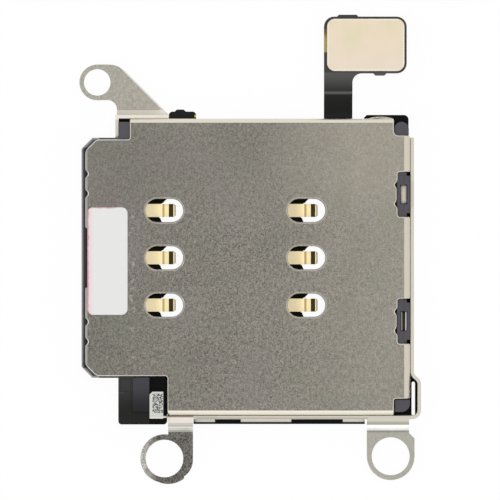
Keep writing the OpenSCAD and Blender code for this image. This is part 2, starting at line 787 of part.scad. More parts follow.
// Cuts for everything that passes through the moulding or lies in its underside
module base_cuts() {
  y = bar_w / 2 + run_gap;
  // Passage for the tray, with a lead-in slope at the mouth
  block([-mouth_x - over, -tray_w / 2, floor_t], [tray_end, tray_w / 2, roof_z + over]);
  along_y(-tray_w / 2, tray_w / 2)
    polygon([[-mouth_x - joined, floor_t + joined], [-mouth_x - joined, floor_t - 2 * joined],
             [-mouth_x, floor_t - 2 * joined], [-mouth_x + lead_in, floor_t],
             [-mouth_x + lead_in, floor_t + joined]]);
  // Channel of the push bar and its tunnel in the guide block
  block([-block_right, -channel_y, floor_t], [cover_right + over, -rib_y, roof_z + over]);
  block([-block_left - over, -bar_y - y, floor_t], [-block_right + joined, -bar_y + y, bar_top + run_gap]);
  upright(floor_t, roof_z + over) lever_space();
  // Places of the rim, the flexible circuit and the frame's walls
  upright(-over, frame_t) rim_plan(sheet_gap);
  upright(-over, flex_t) flex_plan(sheet_gap);
  upright(-over, roof_z) difference() {
    wall_plan(sheet_gap);
    for (x = ledge_roots) patch([x[0], -in_bottom - over], [x[1], -in_bottom + over]);
  }
  at_contacts() spring_slot();
  // Openings in the window blocks, the lower one for the switch and its finger
  block([peep_x[0], window_y - peep_h, -over], [peep_x[1], window_y + peep_h, roof_z + over]);
  block([leaf_x - sheet_gap, -window_y - strip_h - sheet_gap, floor_t],
        [leaf_x + 2 * strip_t + leaf_gap + sheet_gap, -window_y + strip_h + sheet_gap, roof_z + over]);
  block([tray_end - joined, -window_y + strip_h / 2, floor_t],
        [leaf_x + strip_t, -window_y + strip_h + sheet_gap, floor_t + 0.35]);
  translate([pivot_x, -pivot_y, -over]) cylinder(2 * over, r = pin_r + 0.01);
}

// Block that shows in one window of the right edge, cut down at its two outer corners
module window_block() {
  h = window_l / 2 - run_gap;
  cut = [0.18, 0.15];
  x1 = cover_right - sheet_gap;
  difference() {
    upright(0, post_z) polygon(round_rect(pivot_x + hub_r + 2 * joined, -h, x1, h, 0.1));
    for (y = [-h - over, h - cut[1]])
      block([x1 - cut[0], y, floor_t], [x1 + over, y + cut[1] + over, post_z + over]);
  }
}

module base_moulding() {
  color([0.2, 0.2, 0.21]) {
    difference() {
      union() {
        body();
        upper_corner();
        guide_block();
        for (s = [-1, 1]) translate([0, s * window_y, 0]) window_block();
        // Ledge outside the lower frame wall, and its roots through that wall
        upright(0, ledge_h) patch([ledge_x[0], -ledge_y], [ledge_x[1], -in_bottom - frame_t - sheet_gap]);
        for (x = ledge_roots)
          block([x[0], -ledge_y, frame_t + sheet_gap], [x[1], -body_bottom + joined, ledge_h]);
      }
      base_cuts();
    }
    difference() {
      lower_corner();
      upright(-over, frame_t) rim_plan(sheet_gap);
    }
    // Raised seat of the lever round its pin
    translate([pivot_x, -pivot_y, floor_t]) difference() {
      cylinder(lever_z - run_gap - floor_t, r = hub_r);
      translate([0, 0, -over]) cylinder(2 * over, r = pin_r + 0.01);
    }
  }
}

// Contact springs

// Root under the floor, rising arm, flat crest and a steep drop to the tip
module contact_spring() {
  z0 = flex_t;
  z1 = floor_t + crest_h - spring_t;
  z2 = z1 - tip_drop;
  x0 = -arm_l - root_l;
  color([0.93, 0.86, 0.67]) intersection() {
    along_y(-spring_w / 2, spring_w / 2)
      polygon(strip([
        [x0, z0], [-arm_l, z0], [-0.1 * tip_l, z1 - spring_t], [0, z1], [0.3 * tip_l, z1],
        [0.62 * tip_l, z2 + spring_t], [0.74 * tip_l, z2], [tip_l, z2 + spring_t / 2]], spring_t));
    // Rounded corners at the free tip
    upright(0, roof_z)
      polygon(round_rect(x0 - over, -spring_w / 2, tip_l, spring_w / 2, small_r));
  }
}

// Spring i of six, counted up the left column and then the right
module contact_spring_at(i) {
  translate([(floor(i / 3) - 0.5) * contact_col, (i % 3 - 1) * contact_row, 0]) contact_spring();
}

// Flexible circuit

// Plan of the panel under the moulding with the start of its tab and neck, g larger all round
module flex_plan(g) {
  e = rim_w + 0.12 - g;
  x0 = -in_left + rim_left + 0.12 - g;
  difference() {
    polygon(round_rect(x0, -in_bottom + e, in_right - e, in_top - e, 0.2));
    at_contacts() sight_plan(run_gap - g);
  }
  patch([pad_x0 - g, in_top - 2 * e], [pad_x0 + neck_w + g, in_top + 2 * joined]);
  tab_x = -stub_x + sheet_gap;
  polygon(round_rect(tab_x - g, in_top - 2 * e, tab_x + tab_l + g, in_top + tab_out + g, 0.2));
}

// A shallow rise with slanted ends, from x0 to x1 on the edge at y, standing out by h
module edge_rise(x0, x1, y, h) {
  polygon([
    [x0, y - sign(h) * joined], [x0, y], [x0 + abs(h), y + h], [x1 - abs(h), y + h],
    [x1, y], [x1, y - sign(h) * joined]]);
}

module flex_circuit() {
  y0 = in_top + 0.15;
  y1 = pad_y0 - neck_r;
  n = 10;
  x1 = pad_x0 + neck_w;
  tab_x = -stub_x + sheet_gap + tab_l / 2 - 0.12;
  color([0.16, 0.15, 0.14]) {
    upright(0, flex_t) {
      flex_plan(0);
      edge_rise(tab_x - 0.3, tab_x + 0.3, in_top + tab_out, 0.11);
    }
    // Neck that climbs to the pad in one smooth wave
    along_x(pad_x0, x1) polygon(strip(concat(
      [for (i = [0:n]) [y0 + (y1 - y0) * i / n, pad_z * (1 - cos(180 * i / n)) / 2]],
      [[pad_y0 + 2 * joined, pad_z]]), flex_t));
    upright(pad_z, pad_z + flex_t) {
      polygon(round_rect(pad_x0, pad_y0, pad_x1, pad_y1, pad_r));
      patch([pad_x0, pad_y0 - sheet_gap], [x1, pad_y0 + pad_r]);
      // Hollow corner between the neck and the pad
      difference() {
        patch([x1 - joined, y1], [x1 + neck_r, pad_y0 + joined]);
        translate([x1 + neck_r, pad_y0 - neck_r]) circle(neck_r);
      }
      edge_rise(pad_x0 + 0.7, pad_x0 + 1.85, pad_y1, 0.1);
      edge_rise(pad_x1 - 1.8, pad_x1 - 1.08, pad_y0, -0.12);
    }
  }
}

module connector_stiffener() {
  m = stiffener_margin;
  color([0.9, 0.85, 0.77]) upright(pad_z + flex_t, pad_z + flex_t + stiffener_t)
    polygon(round_rect(pad_x0 + 1.4 * m, pad_y0 + m, pad_x1 - m, pad_y1 - m, pad_r - m));
}

// Board connector

// Left side of pin i of a row, from the middle of the housing
function pin_x(i) = (i - (pin_n - 1) / 2) * pin_pitch - pin_w / 2;

module connector_housing() {
  l = plug_l / 2;
  w = plug_w / 2;
  wall = 0.2;
  moat = 0.3;
  color([0.85, 0.84, 0.8]) translate([plug_x, plug_y, 0]) difference() {
    upright(0, pad_z) polygon(round_rect(-l, -w, l, w, 0.12));
    // Moat round the middle island, open downward
    upright(-over, pad_z - 0.15) difference() {
      square([plug_l - 2.5 * wall, plug_w - 2 * wall], center = true);
      square([plug_l - 2.5 * wall - 2 * moat, plug_w - 2 * wall - 2.6 * moat], center = true);
    }
    for (i = [0:pin_n - 1], s = [-1, 1])
      translate([pin_x(i), s * w - moat, pad_z - 0.16]) cube([pin_w, 2 * moat, 0.2]);
  }
}

// One row of pins; s is the side of the housing
module connector_pins(s) {
  w = plug_w / 2;
  out = 0.22;
  in = 0.28;
  t = 0.08;
  color([0.9, 0.78, 0.5]) translate([plug_x, plug_y, 0]) mirror([0, s > 0 ? 0 : 1, 0])
    for (i = [0:pin_n - 1]) {
      // Foot soldered to the pad, and blade on the inside of the wall
      block([pin_x(i), w - in, pad_z - t], [pin_x(i) + pin_w, w + out, pad_z]);
      block([pin_x(i), w - in, t], [pin_x(i) + pin_w, w - in + 0.9 * t, pad_z - t / 2]);
    }
}

// Metal anchor at one end of the housing; s is the end
module connector_anchor(s) {
  t = 0.08;
  h = plug_w / 2 - 0.3;
  color([0.78, 0.78, 0.76]) translate([plug_x, plug_y, 0]) mirror([s > 0 ? 0 : 1, 0, 0])
    block([plug_l / 2, -h, 0.15], [plug_l / 2 + t, h, pad_z]);
}

// Moisture label

module moisture_label() {
  x = -cover_left + label_in;
  y = -0.175;
  color([0.91, 0.91, 0.9]) upright(top_z, top_z + label_t)
    polygon(round_rect(x, y - label_l / 2, x + label_w, y + label_l / 2, label_r));
}

// Ejector

module ejector_slider() {
  y0 = -bar_y - bar_w / 2;
  x = -block_right + run_gap;
  color([0.7, 0.7, 0.68]) upright(bar_z, bar_top) {
    patch([-bar_x0, y0], [bar_x1, y0 + bar_w]);
    // Stop lug that meets the guide block on the way back
    patch([x, y0 - lug_h], [x + lug_l, y0 + joined]);
  }
}

module ejector_lever() {
  w = lever_w / 2;
  color([0.68, 0.68, 0.66]) translate([pivot_x, -pivot_y, 0]) difference() {
    upright(lever_z, lever_z + lever_t) {
      circle(hub_r);
      patch([-w, -lever_len], [w, pivot_y + nose_y]);
      translate([0, -lever_len]) circle(lever_end_r);
      translate([w - lever_end_r, pivot_y + nose_y]) circle(lever_end_r);
    }
    cylinder(over, r = pin_r + pivot_gap);
  }
}

module lever_pivot_pin() {
  color([0.8, 0.79, 0.76]) translate([pivot_x, -pivot_y, flex_t]) cylinder(roof_z - flex_t, r = pin_r);
}

// Tray switch

module switch_leaf() {
  y1 = -window_y + strip_h - sheet_gap;
  finger = 0.2;
  color([0.88, 0.82, 0.66]) {
    block([leaf_x, -window_y - strip_h, floor_t], [leaf_x + strip_t, y1, roof_z - joined]);
    block([tray_end - 0.15, y1 - finger, floor_t + sheet_gap],
          [leaf_x + strip_t, y1, floor_t + sheet_gap + finger]);
  }
}

module switch_contact() {
  x0 = leaf_x + strip_t + leaf_gap;
  color([0.88, 0.82, 0.66])
    block([x0, -window_y - strip_h, floor_t], [x0 + strip_t, -window_y + strip_h, roof_z - joined]);
}

base_moulding();
shield_cover();
mounting_frame();
contact_spring_at(0);  // contact_spring_1
contact_spring_at(1);  // contact_spring_2
contact_spring_at(2);  // contact_spring_3
contact_spring_at(3);  // contact_spring_4
contact_spring_at(4);  // contact_spring_5
contact_spring_at(5);  // contact_spring_6
flex_circuit();
connector_stiffener();
connector_housing();
connector_pins(-1);  // connector_pins_left
connector_pins(1);  // connector_pins_right
connector_anchor(-1);  // connector_anchor_lower
connector_anchor(1);  // connector_anchor_upper
moisture_label();
ejector_slider();
ejector_lever();
lever_pivot_pin();
switch_leaf();
switch_contact();
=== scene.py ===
import json
import math

import bmesh
import bpy
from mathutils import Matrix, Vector


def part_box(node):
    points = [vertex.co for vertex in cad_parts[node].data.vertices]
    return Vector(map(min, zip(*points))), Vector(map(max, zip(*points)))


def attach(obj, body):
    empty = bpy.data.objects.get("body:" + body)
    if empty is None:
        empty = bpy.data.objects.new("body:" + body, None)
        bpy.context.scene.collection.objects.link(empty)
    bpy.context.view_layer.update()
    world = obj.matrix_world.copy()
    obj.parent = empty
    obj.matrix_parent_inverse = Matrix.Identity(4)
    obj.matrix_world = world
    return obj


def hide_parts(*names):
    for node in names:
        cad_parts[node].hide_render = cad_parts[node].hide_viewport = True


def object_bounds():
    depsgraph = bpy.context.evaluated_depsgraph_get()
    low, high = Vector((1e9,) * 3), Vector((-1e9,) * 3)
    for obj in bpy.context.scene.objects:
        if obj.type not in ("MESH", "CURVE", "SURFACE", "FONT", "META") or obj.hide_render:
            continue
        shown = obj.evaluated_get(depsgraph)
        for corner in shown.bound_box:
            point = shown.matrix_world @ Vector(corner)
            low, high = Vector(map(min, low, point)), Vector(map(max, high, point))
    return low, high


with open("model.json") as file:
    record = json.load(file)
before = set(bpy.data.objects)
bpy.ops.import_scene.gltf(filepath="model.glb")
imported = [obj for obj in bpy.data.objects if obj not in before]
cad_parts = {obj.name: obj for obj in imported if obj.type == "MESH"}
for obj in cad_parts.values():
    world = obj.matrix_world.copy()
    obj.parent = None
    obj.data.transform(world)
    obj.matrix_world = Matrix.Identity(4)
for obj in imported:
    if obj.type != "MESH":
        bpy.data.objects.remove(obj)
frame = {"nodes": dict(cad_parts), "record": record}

model_box = [list(corner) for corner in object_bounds()]

# Camera, floor and light
# The reader lies on a white sweep and is seen from straight above through a long lens.
# The room is white all round, and two broad soft lamps give the faint shadow.

MM = 0.001
view_width = 26.81 * MM
view_centre = Vector((0.783, 0.418, 1.4)) * MM
camera_height = 0.5
sensor_width = 36

camera = bpy.data.objects.new("camera", bpy.data.cameras.new("camera"))
camera.data.sensor_width = sensor_width
camera.data.lens = sensor_width * camera_height / view_width
camera.data.clip_start = 0.01
camera.location = view_centre + Vector((0, 0, camera_height))
bpy.context.collection.objects.link(camera)
bpy.context.scene.camera = camera
bpy.context.scene.view_settings.view_transform = "Standard"


class Flow:
    """A socket whose arithmetic adds Math nodes."""

    def __init__(self, tree, socket):
        self.tree = tree
        self.socket = socket

    def maths(self, operation, *values):
        values = [self, *values]
        return self.tree.add("ShaderNodeMath", {"operation": operation}, dict(enumerate(values)))

    def __add__(self, other):
        return self.maths("ADD", other)

    __radd__ = __add__

    def __sub__(self, other):
        return self.maths("SUBTRACT", other)

    def __rsub__(self, other):
        return (self * -1) + other

    def __mul__(self, other):
        return self.maths("MULTIPLY", other)

    __rmul__ = __mul__

    def __lt__(self, other):
        return self.maths("LESS_THAN", other)

    def __gt__(self, other):
        return self.maths("GREATER_THAN", other)

    def lower(self, other):
        """The lower of the two values."""
        return self.maths("MINIMUM", other)

    def higher(self, other):
        """The higher of the two values. For masks, either one."""
        return self.maths("MAXIMUM", other)

    def absolute(self):
        return self.maths("ABSOLUTE")

    def clipped(self):
        return self.higher(0.0).lower(1.0)

    def between(self, low, high):
        """1 where this lies between low and high."""
        return (self > low) * (self < high)

    def near(self, value, half):
        """1 where this lies within half of value."""
        return (self - value).absolute() < half

    def smooth(self, low, high):
        """0 below low, 1 above high, and a soft step between."""
        return self.tree.add("ShaderNodeMapRange", {"interpolation_type": "SMOOTHSTEP"},
                             {"Value": self, "From Min": low, "From Max": high})


class Tree:
    """A node tree that is filled by one method."""

    def __init__(self, tree):
        self.tree = tree
        self.tree.nodes.clear()

    def add(self, kind, settings=None, values=None, out=0):
        """Adds a node: its settings first, then the values or links of its sockets."""
        node = self.tree.nodes.new(kind)
        for name, value in (settings or {}).items():
            setattr(node, name, value)
        for name, value in (values or {}).items():
            socket = node.inputs[name]
            if isinstance(value, Flow):
                self.tree.links.new(value.socket, socket)
            elif socket.type == "RGBA" and len(value) == 3:
                socket.default_value = (*value, 1)
            else:
                socket.default_value = value
        return Flow(self, node.outputs[out]) if node.outputs else node

    def mix(self, factor, a, b):
        """Colour a where factor is 0 and b where it is 1."""
        # A Mix node repeats its sockets for each kind of data: these are the ones for colours
        factor_in, a_in, b_in, colour_out = 0, 6, 7, 2
        node = self.add("ShaderNodeMix", {"data_type": "RGBA"}).socket.node
        for index, value in ((factor_in, factor), (a_in, a), (b_in, b)):
            if isinstance(value, Flow):
                self.tree.links.new(value.socket, node.inputs[index])
            else:
                node.inputs[index].default_value = value if index == factor_in else (*value, 1)
        return Flow(self, node.outputs[colour_out])


def seen_or_mirrored(tree):
    """1 on rays that end in the camera, a mirror or glass."""
    kinds = ("Is Camera Ray", "Is Glossy Ray", "Is Transmission Ray")
    first, second, third = (tree.add("ShaderNodeLightPath", out=kind) for kind in kinds)
    return first.higher(second).higher(third)


def sweep():
    """A white floor that shows as plain white and still takes a faint shadow."""
    reach = 0.6
    gap_under_reader = 0.02 * MM
    white_share = 0.95
    mesh = bpy.data.meshes.new("floor")
    corners = [(-reach, -reach, 0), (reach, -reach, 0), (reach, reach, 0), (-reach, reach, 0)]
    mesh.from_pydata(corners, [], [(0, 1, 2, 3)])
    floor = bpy.data.objects.new("floor", mesh)
    floor.location.z = model_box[0][2] - gap_under_reader
    bpy.context.collection.objects.link(floor)
    material = bpy.data.materials.new("white sweep")
    material.use_nodes = True
    tree = Tree(material.node_tree)
    paper = tree.add("ShaderNodeBsdfDiffuse", values={"Color": (0.97, 0.97, 0.97)})
    glow = tree.add("ShaderNodeEmission", values={"Color": (1, 1, 1), "Strength": 1.0})
    share = seen_or_mirrored(tree) * white_share
    both = tree.add("ShaderNodeMixShader", values={0: share, 1: paper, 2: glow})
    tree.add("ShaderNodeOutputMaterial", values={"Surface": both})
    mesh.materials.append(material)


def surroundings():
    """A plain pale room, white to the camera and in metal."""
    room_light = 0.65
    world = bpy.data.worlds.new("studio")
    world.use_nodes = True
    tree = Tree(world.node_tree)
    lit = tree.add("ShaderNodeBackground", values={"Color": (1, 1, 1), "Strength": room_light})
    white = tree.add("ShaderNodeBackground", values={"Color": (1, 1, 1), "Strength": 1.0})
    both = tree.add("ShaderNodeMixShader", values={0: seen_or_mirrored(tree), 1: lit, 2: white})
    tree.add("ShaderNodeOutputWorld", values={"Surface": both})
    bpy.context.scene.world = world


def softbox(name, place, size, power):
    """A square lamp that looks at the reader and doesn't show in metal."""
    lamp = bpy.data.objects.new(name, bpy.data.lights.new(name, "AREA"))
    lamp.data.size = size
    lamp.data.energy = power
    lamp.location = place
    lamp.rotation_euler = (view_centre - lamp.location).to_track_quat("-Z", "Y").to_euler()
    lamp.visible_glossy = False
    bpy.context.collection.objects.link(lamp)


sweep()
surroundings()
softbox("key", place=Vector((0.09, 0.07, 0.5)), size=0.16, power=0.66)
softbox("fill", place=Vector((-0.25, -0.12, 0.3)), size=0.2, power=0.25)

# Shield cover
# A lid of thin nickel-plated steel, stamped with six obround windows and folded down at three sides.
# Its plate is satin with a fine speckle, and every fold and cut edge carries a painted highlight.


class Finish(Tree):
    """A material whose principled shader and object coordinates in millimetres are at hand."""

    def __init__(self, name, **fixed):
        self.material = bpy.data.materials.new(name)
        self.material.use_nodes = True
        super().__init__(self.material.node_tree)
        self.shader = self.tree.nodes.new("ShaderNodeBsdfPrincipled")
        self.add("ShaderNodeOutputMaterial", values={"Surface": Flow(self, self.shader.outputs[0])})
        spot = self.add("ShaderNodeTexCoord", out="Object")
        self.spot = self.scaled(spot, 1 / MM)
        self.x, self.y, self.z = (
            self.add("ShaderNodeSeparateXYZ", values={0: self.spot}, out=axis) for axis in "XYZ")
        turn = self.add("ShaderNodeNewGeometry", out="Normal")
        self.facing_up = self.add("ShaderNodeSeparateXYZ", values={0: turn}, out="Z")
        for key, value in fixed.items():
            self.shader.inputs[key.replace("_", " ")].default_value = value

    def set(self, name, value):
        """Sets or links a socket of the shader."""
        if isinstance(value, Flow):
            self.tree.links.new(value.socket, self.shader.inputs[name])
        else:
            self.shader.inputs[name].default_value = value

    def scaled(self, vector, factor):
        """A vector or colour times a number."""
        return self.add("ShaderNodeVectorMath", {"operation": "SCALE"}, {0: vector, "Scale": factor})

    def noise(self, scale, detail=2.0, stretch=(1, 1, 1), roughness=0.5):
        """Noise with scale features to the millimetre."""
        place = self.add("ShaderNodeVectorMath", {"operation": "MULTIPLY"}, {0: self.spot, 1: stretch})
        return self.add("ShaderNodeTexNoise", values={
            "Vector": place, "Scale": scale, "Detail": detail, "Roughness": roughness})

    def uneven(self, noise, spread, middle):
        """Roughness that varies with noise by spread about middle."""
        self.set("Roughness", (noise - 0.5) * spread + middle)

    def bump(self, height, distance):
        """Raises the surface by height times distance, in millimetres."""
        self.set("Normal", self.add("ShaderNodeBump", values={
            "Height": height, "Distance": distance * MM, "Strength": 1.0}, out="Normal"))


def softened(node, width, clamped=True):
    """A copy of a CAD node that stands for it, its sharp edges rounded by width in millimetres."""
    same_point = 0.0005 * MM
    same_plane = math.radians(1.5)
    sharp = math.radians(35)
    mesh = frame["nodes"][node].data.copy()
    form = bmesh.new()
    form.from_mesh(mesh)
    bmesh.ops.remove_doubles(form, verts=form.verts, dist=same_point)
    bmesh.ops.dissolve_limit(form, angle_limit=same_plane, verts=form.verts, edges=form.edges)
    form.to_mesh(mesh)
    form.free()
    mesh.materials.clear()
    mesh.polygons.foreach_set("use_smooth", [True] * len(mesh.polygons))
    piece = bpy.data.objects.new(node + "_finished", mesh)
    bpy.context.collection.objects.link(piece)
    bevel = piece.modifiers.new("rounded edges", "BEVEL")
    bevel.width = width * MM
    bevel.segments = 2
    bevel.limit_method = "ANGLE"
    bevel.use_clamp_overlap = clamped
    bevel.angle_limit = sharp
    flats = piece.modifiers.new("flat faces", "WEIGHTED_NORMAL")
    flats.weight = 100
    evaluated = piece.evaluated_get(bpy.context.evaluated_depsgraph_get())
    piece.data = bpy.data.meshes.new_from_object(evaluated)
    piece.modifiers.clear()
    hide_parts(node)
    bodies = frame["record"]["behaviour"]["bodies"]
    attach(piece, next(body for body, nodes in bodies.items() if node in nodes))
    return piece


def corners_of(node):
    """The lowest and highest corner of a node, in millimetres."""
    return (Vector(corner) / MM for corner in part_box(node))


def plated_steel(name, dark, light, pale_tone, speckle=1.0):
    """Satin nickel plate: flats with short bright and dark flecks, and a painted highlight on every
    fold and edge.
    """
    finish = Finish(name, Metallic=1.0)
    grain = finish.noise(13.0, 2.0, roughness=0.6)
    fleck = finish.noise(5.5, 3.0, stretch=(1.2, 0.7, 1.0), roughness=0.8)
    cloud = finish.noise(0.35, 2.0)
    spark = finish.noise(9.0, 1.0, stretch=(1.5, 0.7, 1.0)).smooth(0.66, 0.76)
    mottle = (grain - 0.5) * (2.1 * speckle) + (fleck - 0.5) * (2.0 * speckle)
    tone = mottle + (cloud - 0.5) * 0.35 + spark * speckle
    finish.flat = finish.facing_up.smooth(0.9, 0.99)
    finish.tone = (tone + 0.5).clipped()
    # Every face that isn't flat, fold and edge alike, takes the pale tone as a painted highlight
    finish.colour = finish.mix(finish.flat, pale_tone, finish.mix(finish.tone, dark, light))
    finish.uneven(grain, 0.25, 0.4)
    finish.bump(grain * 0.6 + fleck * 0.4, 0.004 * speckle)
    return finish


lid = softened("shield_cover", 0.07, clamped=False)
lid_low, lid_high = corners_of("shield_cover")
# The pale tone given here is the painted highlight on the lid's folds and edges
nickel = plated_steel("speckled nickel plate", dark=(0.115, 0.108, 0.094),
                      light=(0.365, 0.345, 0.3), pale_tone=(0.8, 0.77, 0.69))
# Painted light: the plate is darker towards the mouth, paler to the right, and palest at the upper
# right
shade_to_left = (1 - nickel.x.smooth(-8.0, 0.0)) * nickel.flat
light_to_right = nickel.x.smooth(1.0, 9.0) * nickel.flat
upper = nickel.y.smooth(0.5, 5.0) * nickel.flat
colour = nickel.mix(shade_to_left * 0.2, nickel.colour, (0.1, 0.096, 0.084))
colour = nickel.mix(light_to_right * 0.27, colour, (0.5, 0.47, 0.385))
upper_light_tone = nickel.mix(nickel.x.smooth(0.0, 6.5), (0.215, 0.205, 0.18), (0.51, 0.46, 0.385))
colour = nickel.mix(upper * 0.3, colour, upper_light_tone)
# Thin traces of glue beside the label
wisp = nickel.noise(3.2, 4.0, stretch=(1.0, 0.6, 1.0), roughness=0.8).smooth(0.56, 0.66)
trace = nickel.x.near(-5.62, 0.22) * nickel.y.near(-1.6, 4.2) * wisp * nickel.flat
colour = nickel.mix(trace * 0.5, colour, (0.66, 0.6, 0.54))
# Broad patches that lean to red and to green
tint = nickel.noise(0.5, 3.0)
reddish = tint.smooth(0.5, 0.75) * nickel.flat
greenish = (1 - tint.smooth(0.25, 0.5)) * nickel.flat
colour = nickel.mix(reddish * 0.3, colour, (0.26, 0.225, 0.21))
colour = nickel.mix(greenish * 0.3, colour, (0.215, 0.235, 0.175))
# Painted highlights on the edge at the mouth and on the three folds: the right fold palest where it
# turns down, the lower fold palest on the top of its bend
mouth_edge, right_fold, lower_fold, upper_fold = 0.12, 0.33, 0.27, 0.32
at_mouth = nickel.x < lid_low.x + mouth_edge
colour = nickel.mix(at_mouth * 0.85, colour, (0.4, 0.395, 0.36))
right_fold_highlight = nickel.mix(nickel.facing_up.smooth(0.3, 0.6), (0.95, 0.92, 0.85), (0.66, 0.61, 0.51))
colour = nickel.mix(nickel.x > lid_high.x - right_fold, colour, right_fold_highlight)
end_folds = (nickel.y < lid_low.y + lower_fold).higher(nickel.y > lid_high.y - upper_fold)
crown_highlight = nickel.facing_up.smooth(0.6, 0.95) * (nickel.y < 0.0)
end_fold_highlight = nickel.mix(crown_highlight, (0.76, 0.72, 0.61), (0.89, 0.85, 0.73))
colour = nickel.mix(end_folds, colour, end_fold_highlight)
nickel.set("Base Color", colour)
lid.data.materials.append(nickel.material)

# Mounting frame
# A second steel pressing of brighter plate: walls round the lid, a rim under the moulding,
# three screw ears on bent arms, and a small folded tag with a mottled field.

ears = softened("mounting_frame", 0.03)
# The pale tone given here is the painted highlight on the frame's bends and edges
bright = plated_steel("bright nickel plate", dark=(0.27, 0.255, 0.225),
                      light=(0.57, 0.545, 0.465), pale_tone=(0.78, 0.76, 0.68), speckle=0.5)
right_side = bright.x > 0.0
rim_edge = -8.66
slope_top, slope_foot = -8.96, -9.26
tag_right = -3.75
# Painted highlight: the flats on top of the walls are pale
top_flat_highlight = bright.z.smooth(1.02, 1.1) * bright.flat
colour = bright.mix(top_flat_highlight, bright.colour, (0.66, 0.62, 0.54))
# Upper left ear: a painted highlight on its slanted edge and on the fold at its root
slanted_edge = (bright.x + bright.y > 4.0) * (bright.x < -3.3) * (bright.y > 7.9)
upper_root = bright.y.between(7.42, 7.93) * (bright.x < -3.0)
colour = bright.mix(slanted_edge.higher(upper_root), colour, (0.74, 0.69, 0.62))
# Lower right ear: painted shade darkens its root towards the slope
root_shade = bright.mix(bright.y.smooth(-8.9, -8.68), (0.43, 0.41, 0.33), (0.68, 0.65, 0.56))
colour = bright.mix((bright.y < rim_edge) * right_side, colour, root_shade)
# Lower left ear: from the rim down, painted shade in a dark crease, a painted highlight on the flat
# and painted shade on the duller bend
left_root = (bright.y < -8.3) * bright.x.between(tag_right, -1.0)
colour = bright.mix(left_root, colour, (0.58, 0.575, 0.5))
left_arm = bright.x.near(-2.98, 0.72)
light_and_shade_bands = (
    (-8.56, -8.45, (0.3, 0.27, 0.19)),
    (-8.85, -8.56, (0.85, 0.77, 0.72)),
    (-8.95, -8.85, (0.62, 0.6, 0.56)))
for foot, top, tone in light_and_shade_bands:
    colour = bright.mix(left_arm * bright.y.between(foot, top), colour, tone)
# A faint line of painted shade along the rim, between the two lower ears
shade_line = bright.y.near(-8.61, 0.035) * bright.x.near(2.5, 4.6)
colour = bright.mix(shade_line * 0.4, colour, (0.2, 0.17, 0.13))
# The slopes of the lower ears are painted light: the right one near white as a painted highlight, the
# left one pale at its foot and duller above
slope = bright.y.between(slope_foot, slope_top)
left_slope_light = bright.mix(bright.y.smooth(-9.1, -9.03), (0.78, 0.77, 0.69), (0.5, 0.49, 0.44))
colour = bright.mix(slope, colour, bright.mix(right_side, left_slope_light, (0.95, 0.95, 0.94)))
# The rings of the lower ears: the right one is satin, and the left one is dark and flecked, paler at
# its left end
right_ring = (bright.y < slope_foot) * right_side
satin = bright.mix(bright.tone, (0.34, 0.325, 0.28), (0.53, 0.51, 0.45))
colour = bright.mix(right_ring, colour, satin)
left_ring = (bright.y < -9.24) * (bright.x < -1.0) * bright.flat
flecks = bright.noise(13.0, 2.0, roughness=0.7).smooth(0.3, 0.72)
dull = bright.mix(flecks, (0.045, 0.04, 0.038), (0.27, 0.25, 0.225))
pale_tone = bright.mix(flecks, (0.3, 0.285, 0.26), (0.72, 0.7, 0.65))
left_ring_tone = bright.mix(1 - bright.x.smooth(-5.1, -4.1), dull, pale_tone)
colour = bright.mix(left_ring, colour, left_ring_tone)
# Folded tag: a plain silver border round a mottled field
tag_middle, field_half = (-4.165, -7.8), (0.28, 0.52)
field = bright.x.near(tag_middle[0], field_half[0]) * bright.y.near(tag_middle[1], field_half[1])
blots = bright.noise(17.0, 1.0, roughness=0.3).smooth(0.4, 0.56)
mottled = bright.mix(blots * field, (0.66, 0.66, 0.63), (0.1, 0.1, 0.095))
on_tag = (bright.x < tag_right) * bright.y.between(rim_edge, -7.0) * (bright.z > 1.2) * bright.flat
colour = bright.mix(on_tag, colour, mottled)
# Behind the upper window the wall is bent in to a plain flat
window_flat = (bright.x > 8.4) * bright.y.near(3.4, 0.7) * (bright.z < 1.29) * bright.flat
colour = bright.mix(window_flat, colour, (0.6, 0.55, 0.48))
# Painted shade: what lies deep between the walls is coloured near black
deep = (bright.z < 0.5) * bright.y.near(-0.43, 8.03) * bright.flat
colour = bright.mix(deep, colour, (0.01, 0.01, 0.01))
bright.set("Base Color", colour)
# The bends that catch the lamps are less of a mirror, and two of them glow a little as painted
# highlights
lit_bends = bright.y.between(-9.36, slope_top).higher(upper_root)
bright.set("Metallic", 1 - lit_bends * 0.85)
glow_highlight = (slope * right_side).higher(upper_root)
bright.set("Emission Color", bright.mix(glow_highlight, (0, 0, 0), colour))
bright.set("Emission Strength", 0.12)
ears.data.materials.append(bright.material)

# Base moulding
# One moulding of black glass-filled plastic: floor, tray passage, guide block, posts and ledges.
# Its surface is matt with a fine grain; painted light makes the raised flats a little paler, and
# painted shade leaves lower and sideways faces near black.

body = softened("base_moulding", 0.02)
body_low, _ = corners_of("base_moulding")
plastic = Finish("black moulding", Metallic=0.0, Specular_IOR_Level=0.06)
grain = plastic.noise(9.0, 3.0)
up = plastic.facing_up.clipped()
# Painted light and shade: raised upward flats take the cloudy grey, all else near black
raised_light = plastic.z.smooth(0.9, 1.25) * up
cloudy = plastic.mix(plastic.noise(1.1, 2.0), (0.082, 0.078, 0.087), (0.107, 0.101, 0.113))
colour = plastic.mix(raised_light, (0.005, 0.005, 0.005), cloudy)
